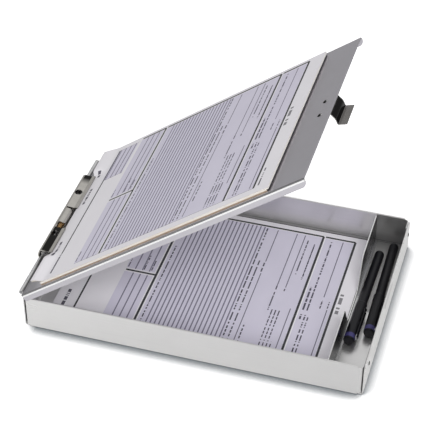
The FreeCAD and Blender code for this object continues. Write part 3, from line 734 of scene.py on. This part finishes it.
def slab(name, xs, ys, bottom, top, origin_s, space=TRAY, shift=None, margin=0.0):
    """Closed thin solid over a grid, in millimetres: heights and an extra shift by (x, y)."""
    count_y = len(ys)
    layer = len(xs) * count_y
    points, marks = [], []
    for height, mark in ((bottom, 0.0), (top, 1.0)):
        for x in xs:
            for y in ys:
                dx, dy, dz = shift(x, y) if shift else (0.0, 0.0, 0.0)
                points.append(((x + dx) * MM, (y + dy) * MM, (height(x, y) + dz) * MM))
                marks.append((origin_s - x, ys[-1] - margin - y, mark))
    faces = []
    for i in range(len(xs) - 1):
        for j in range(count_y - 1):
            a = i * count_y + j
            b, c, d = a + count_y, a + count_y + 1, a + 1
            faces.append((a, d, c, b))
            faces.append((a + layer, b + layer, c + layer, d + layer))
    for i in range(len(xs) - 1):
        first, following = i * count_y, (i + 1) * count_y
        for a, b in ((first, following), (following + count_y - 1, following - 1)):
            faces.append((a, b, b + layer, a + layer))
    for j in range(count_y - 1):
        last = (len(xs) - 1) * count_y
        for a, b in ((j + 1, j), (last + j, last + j + 1)):
            faces.append((a, b, b + layer, a + layer))
    mesh = bpy.data.meshes.new(name)
    mesh.from_pydata(points, [], faces)
    attribute = mesh.attributes.new("sheet_mm", "FLOAT_VECTOR", "POINT")
    attribute.data.foreach_set("vector", np.array(marks, np.float32).ravel())
    mesh.update()
    piece = bpy.data.objects.new(name, mesh)
    piece.matrix_world = space
    bpy.context.scene.collection.objects.link(piece)
    return piece


def joined(name, pieces):
    """One object from several, which keeps them as separate shells."""
    bpy.ops.object.select_all(action="DESELECT")
    for piece in pieces:
        piece.select_set(True)
    bpy.context.view_layer.objects.active = pieces[0]
    bpy.ops.object.join()
    pieces[0].name = name
    pieces[0].data.name = name
    return pieces[0]


def smooth_flat(piece, angle=0.6):
    """Smooth shading with sharp edges kept above an angle."""
    mesh = piece.data
    for polygon in mesh.polygons:
        polygon.use_smooth = True
    mesh.set_sharp_from_angle(angle=angle)


def dress(piece, material, body, *nodes):
    """Give a piece its finish, its body and the CAD nodes that it stands for."""
    piece.data.materials.clear()
    piece.data.materials.append(material)
    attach(piece, body)
    if nodes:
        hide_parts(*nodes)
    return piece


def corner_shift(x, y, start, clip_sides, near_shift, far_shift):
    """Shift in millimetres that grows towards a sheet's hinge-end corners beside the clip."""
    near_side, far_side = clip_sides
    end = smooth(1.0 - (x - start) / CURL_REACH)
    near = smooth((near_side - y) / CURL_SPREAD) * end
    far = smooth((y - far_side) / CURL_SPREAD) * end
    return tuple(n * near + f * far for n, f in zip(near_shift, far_shift))


def lid_sheet(name, xs, ys, zs, share, clip_sides, counts):
    """Block of sheets on the lid; its free corners stand up by a share, or tuck in if share is 0."""
    x0, x1 = xs
    near, far = (tuple(share * c for c in full) for full in (NEAR_CURL, FAR_CURL))
    if share == 0.0:
        near = far = CORNER_TUCK
    return slab(
        name,
        grid(x0, x1, counts[0], 1.5),
        grid(*ys, counts[1]),
        lambda x, y: zs[0],
        lambda x, y: zs[1],
        origin_s=pad_end(),
        space=LID,
        shift=lambda x, y: corner_shift(x, y, x0, clip_sides, near, far),
    )


def pad_end():
    """Distance of the pad's free end from the hinge axis, in millimetres."""
    return box_in("forms_pad", LID)[1].x / MM


def build_pad():
    """Chipboard backing, slices of sheets, loose sheets and the printed top sheet on the lid."""
    rng = random.Random(SEED)
    low, high = (v / MM for v in box_in("forms_pad", LID))
    board_low, board_high = (v / MM for v in box_in("pad_backing", LID))
    jaw_low, jaw_high = (v / MM for v in box_in("clip_jaw", LID))
    clip_sides = (jaw_low.y + CLIP_OVERLAP, jaw_high.y - CLIP_OVERLAP)

    board = lid_sheet(
        "pad_backing_board",
        (low.x + 0.4, high.x - RECESS),
        (low.y, high.y - 0.5),
        (board_low.z + 0.02, board_high.z - 0.02),
        0.0,
        clip_sides,
        (50, 40),
    )
    smooth_flat(board)
    dress(board, chipboard("chipboard_brown"), "lid", "pad_backing")

    loose = LOOSE_SHEETS + 1
    bulk_top = high.z - loose * SHEET_THICK - 0.12
    step = (bulk_top - low.z) / PAD_SLICES
    slices = []
    for k in range(PAD_SLICES):
        dx0, dx1, dy0, dy1 = (rng.uniform(-SLICE_JITTER, SLICE_JITTER) for _ in range(4))
        inset = RECESS if k < RECESSED_SLICES else 0.4
        slices.append(lid_sheet(
            "slice",
            (low.x + 0.5 + dx0, high.x - inset + dx1),
            (low.y + 0.3 + dy0, high.y - 0.3 + dy1),
            (low.z + k * step + 0.01, low.z + (k + 1) * step - 0.01),
            0.0,
            clip_sides,
            (60, 50),
        ))
    pad = joined("pad_sheets", slices)
    smooth_flat(pad)
    dress(pad, plain_paper("pad_edges"), "lid", "forms_pad")

    sheets = []
    for k in range(LOOSE_SHEETS):
        dx, dy = rng.uniform(-0.35, 0.35), rng.uniform(-0.3, 0.3)
        base = bulk_top + 0.03 + k * SHEET_THICK * 1.05
        sheets.append(lid_sheet(
            "loose",
            (low.x + 0.4 + dx, high.x - 0.4 + dx),
            (low.y + 0.4 + dy, high.y - 0.4 + dy),
            (base, base + SHEET_THICK * 0.9),
            0.70 + 0.09 * k,
            clip_sides,
            (72, 60),
        ))
    loose_sheets = joined("pad_loose_sheets", sheets)
    smooth_flat(loose_sheets)
    dress(loose_sheets, plain_paper("loose_edges"), "lid")

    top_sheet = lid_sheet(
        "pad_top_form",
        (low.x, high.x),
        (low.y, high.y),
        (high.z - SHEET_THICK, high.z),
        1.0,
        clip_sides,
        (110, 90),
    )
    smooth_flat(top_sheet)
    dress(top_sheet, printed_paper("printed_form_lid"), "lid")


def build_stack():
    """Loose forms in the tray."""
    rng = random.Random(SEED + 1)
    low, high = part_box("forms_stack")
    x0, x1 = low.x / MM, high.x / MM
    y0, y1 = low.y / MM, high.y / MM
    z0, z1 = low.z / MM, high.z / MM
    bulk_top = z1 - SHEET_THICK - 0.05
    step = (bulk_top - z0) / STACK_SLICES
    slices = []
    for k in range(STACK_SLICES):
        dx0, dx1, dy0, dy1 = (rng.uniform(-0.35, 0.2) for _ in range(4))
        slices.append(slab(
            "slice",
            grid(x0 + 0.6 + dx0, x1 - 0.2 + dx1, 30),
            grid(y0 + 0.4 + dy0, y1 - 0.4 + dy1, 24),
            lambda x, y, k=k: z0 + k * step + 0.02,
            lambda x, y, k=k: z0 + (k + 1) * step - 0.01,
            x1 - 0.2 + dx1,
        ))
    stack = joined("stack_sheets", slices)
    smooth_flat(stack)
    dress(stack, plain_paper("stack_edges"), "tray", "forms_stack")

    def ripple(x, y):
        return 0.10 * (1.0 + math.sin(x / 37.0 + y / 60.0))

    top_sheet = slab(
        "stack_top_form",
        grid(x0, x1, 90),
        grid(y0, y1, 80),
        lambda x, y: bulk_top + 0.03 + ripple(x, y),
        lambda x, y: bulk_top + 0.03 + SHEET_THICK + ripple(x, y),
        x1 + TRAY_PRINT_SHIFT[0],
        margin=TRAY_PRINT_SHIFT[1],
    )
    smooth_flat(top_sheet)
    # The tray's form is a lightened copy of the pad's, as painted light.
    dress(top_sheet, printed_paper("printed_form_tray", TRAY_PAPER_PAINTED_LIGHT), "tray")


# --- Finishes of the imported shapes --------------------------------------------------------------
def paint(material, *nodes):
    """Give CAD nodes a finish."""
    for node in nodes:
        slots = frame["nodes"][node].material_slots
        for slot in slots:
            slot.material = material


def finish_metal():
    """Aluminium, steel and chrome of the tray, the lid, the hinge, the clip and the latch."""
    turn = math.radians(joint("lid_hinge")["range_deg"][0])
    tray = aluminium("tray_satin", "tray_aluminium", (0.80, 0.795, 0.79), 0.29, shade=pocket_shade)
    # The lid's colour is a darker, more lilac copy of the tray's aluminium, as painted shade.
    lid = aluminium("lid_satin", "lid_aluminium", (0.60, 0.585, 0.625), 0.30, -turn, 0.05, lid_shade)
    upright = (0.55, 0.55, 0.56)
    divider = aluminium("divider_satin", "divider_aluminium", upright, 0.26, shade=divider_shade)
    hinge = aluminium("hinge_satin", "hinge_aluminium", (0.66, 0.66, 0.66), 0.30)
    rivet = polished("rivet_bright", "rivet_aluminium", (0.72, 0.72, 0.72), 0.22, 0.15, dome_flag)
    corner = polished("rivet_corner", "rivet_aluminium", (0.80, 0.80, 0.80), 0.20, 0.15, rim_flag)
    steel = polished("rivet_steel", "rivet_steel", (0.72, 0.72, 0.72), 0.14, 0.2, dome_flag)
    pin = polished("pin_steel", "pin_steel", (0.45, 0.45, 0.46), 0.22, 0.25)
    plated = polished("plated_steel", "plated_steel", (0.42, 0.41, 0.40), 0.25, 0.2)
    spring = polished("spring_brassed", "spring_steel", (0.66, 0.42, 0.20), 0.2, 0.2)
    chrome = polished("clip_chrome", "chrome", (0.56, 0.54, 0.505), 0.12, 0.06, jaw_flag)
    latch = polished("latch_dark", "latch_steel", (0.27, 0.26, 0.25), 0.14, 0.1, side_flag)
    paint(tray, "tray_pan")
    paint(lid, "lid_panel")
    paint(divider, "divider")
    paint(hinge, "hinge_leaf_tray", "hinge_leaf_lid")
    paint(corner, "tray_corner_rivets")
    paint(rivet, "hinge_tray_rivets", "hinge_lid_rivets")
    paint(steel, "clip_rivets", "latch_rivets")
    paint(pin, "hinge_pin", "clip_rod")
    paint(plated, "clip_base")
    paint(spring, "clip_spring")
    paint(chrome, "clip_jaw")
    paint(latch, "latch_foot", "latch_arm")


def finish_pens():
    """Black pens with a violet band, and a pocket clip whose root by the band is bare metal."""
    black = gloss_plastic("pen_black", "pen_plastic", (0.004, 0.004, 0.006), 0.3)
    band = gloss_plastic("pen_violet", "pen_band", (0.045, 0.040, 0.135), 0.3)
    for number in (1, 2):
        paint(black, "pen_%d_barrel" % number, "pen_%d_cap" % number)
        paint(band, "pen_%d_band" % number)
        clip = "pen_%d_clip" % number
        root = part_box(clip)[0].y + PEN_CLIP_ROOT * MM
        coat = gloss_plastic("pen_clip_black_%d" % number, "pen_clip", (0.006, 0.006, 0.008), 0.14, root)
        paint(coat, clip)


# --- Studio -------------------------------------------------------------------------------------
def build_world():
    """Even pale surroundings for soft light; mirrors see a grey horizon that brightens upward."""
    world = bpy.data.worlds.new("studio")
    bpy.context.scene.world = world
    world.use_nodes = True
    nodes, links = world.node_tree.nodes, world.node_tree.links
    background = nodes["Background"]
    coordinates = nodes.new("ShaderNodeTexCoord")
    parts = nodes.new("ShaderNodeSeparateXYZ")
    links.new(coordinates.outputs["Generated"], parts.inputs[0])
    height = nodes.new("ShaderNodeMapRange")
    height.interpolation_type = "SMOOTHSTEP"
    links.new(parts.outputs["Z"], height.inputs["Value"])
    height.inputs["From Min"].default_value = 0.05
    height.inputs["From Max"].default_value = 0.80
    height.inputs["To Min"].default_value = HORIZON_LIGHT
    height.inputs["To Max"].default_value = SKY_LIGHT
    path = nodes.new("ShaderNodeLightPath")
    mix = nodes.new("ShaderNodeMix")
    mix.data_type = "FLOAT"
    links.new(path.outputs["Is Glossy Ray"], mix.inputs["Factor"])
    mix.inputs[2].default_value = ROOM_LIGHT
    links.new(height.outputs["Result"], mix.inputs[3])
    links.new(mix.outputs[0], background.inputs["Strength"])
    background.inputs["Color"].default_value = (1.0, 1.0, 1.0, 1.0)


def area_light(name, place, aim, size, watts, mirrored):
    """Soft rectangular light, seen either only by mirrors or only by dull surfaces."""
    data = bpy.data.lights.new(name, "AREA")
    data.shape = "RECTANGLE"
    data.size, data.size_y = size
    data.energy = watts
    lamp = bpy.data.objects.new(name, data)
    lamp.location = place
    lamp.rotation_mode = "QUATERNION"
    lamp.rotation_quaternion = (Vector(aim) - Vector(place)).to_track_quat("-Z", "Y")
    lamp.visible_glossy = mirrored
    lamp.visible_diffuse = not mirrored
    bpy.context.scene.collection.objects.link(lamp)


def build_floor():
    """Plain white floor, whose own look is brighter than the light it gives to the object, with a
    painted contact shadow that is weaker on the right and fades out on the left.
    """
    half = 4.0
    mesh = bpy.data.meshes.new("floor")
    corners = [(-half, -half, 0.0), (half, -half, 0.0), (half, half, 0.0), (-half, half, 0.0)]
    mesh.from_pydata(corners, [], [(0, 1, 2, 3)])
    floor = bpy.data.objects.new("floor", mesh)
    floor.location.z = cad_box[0].z - 0.05 * MM
    bpy.context.scene.collection.objects.link(floor)
    g = Graph("floor_white", "")
    g.nodes.remove(g.shader)
    diffuse = g.nodes.new("ShaderNodeBsdfDiffuse")
    occlusion = g.nodes.new("ShaderNodeAmbientOcclusion")
    occlusion.samples = 12
    occlusion.inputs["Distance"].default_value = SHADOW_REACH
    # Painted contact shadow where the floor is occluded, weaker on the right, faded out on the left.
    open_share = g.spread(occlusion.outputs["AO"], 0.48, 0.98, shape="SMOOTHSTEP")
    low, high = cad_box
    x = g.position()[0]
    right = g.spread(x, high.x - 0.004, high.x + 0.003, 1.0, 0.80)
    left = g.spread(x, low.x + 0.002, low.x + 0.016)
    strength = g.both(g.math("SUBTRACT", 1.0, open_share), g.both(left, right))
    seen = g.mix(strength, FLOOR_SEEN, FLOOR_SHADOW)
    camera_ray = g.nodes.new("ShaderNodeLightPath").outputs["Is Camera Ray"]
    g.feed(diffuse.inputs["Color"], g.mix(camera_ray, (FLOOR_BOUNCE,) * 3, seen))
    g.links.new(diffuse.outputs[0], g.nodes["Material Output"].inputs["Surface"])
    mesh.materials.append(g.material)


def build_camera():
    """Camera at the product view: from the front, a little to the right and well above."""
    angles = (CAMERA_AZIMUTH, CAMERA_ELEVATION, CAMERA_ROLL)
    azimuth, elevation, roll = (math.radians(angle) for angle in angles)
    level = Vector((math.sin(azimuth), -math.cos(azimuth), 0.0))
    back = level * math.cos(elevation) + Vector((0.0, 0.0, math.sin(elevation)))
    right = Vector((math.cos(azimuth), math.sin(azimuth), 0.0))
    up = back.cross(right)
    turned_right = right * math.cos(roll) - up * math.sin(roll)
    turned_up = right * math.sin(roll) + up * math.cos(roll)
    data = bpy.data.cameras.new("camera")
    data.lens = CAMERA_LENS
    data.sensor_width = SENSOR
    camera = bpy.data.objects.new("camera", data)
    place = Vector(CAMERA_TARGET) + back * CAMERA_DISTANCE
    rotation = Matrix((turned_right, turned_up, back)).transposed().to_4x4()
    camera.matrix_world = Matrix.Translation(place) @ rotation
    bpy.context.scene.collection.objects.link(camera)
    bpy.context.scene.camera = camera


def build_studio():
    """World, floor, lights and camera, with plain display colours."""
    build_world()
    build_floor()
    build_camera()
    area_light("key", (-0.7, 0.3, 1.9), (0.0, 0.0, 0.0), (1.4, 1.4), KEY_WATTS, False)
    area_light("front", (0.7, -1.8, 1.7), (0.0, 0.0, 0.05), (1.6, 1.2), FRONT_WATTS, False)
    area_light("glint", (-1.7, -0.6, 0.55), (0.0, 0.0, 0.1), (1.2, 0.5), GLINT_WATTS, True)
    settings = bpy.context.scene.view_settings
    settings.view_transform = "Standard"
    settings.look = "None"


build_pad()
build_stack()
finish_metal()
finish_pens()
build_studio()
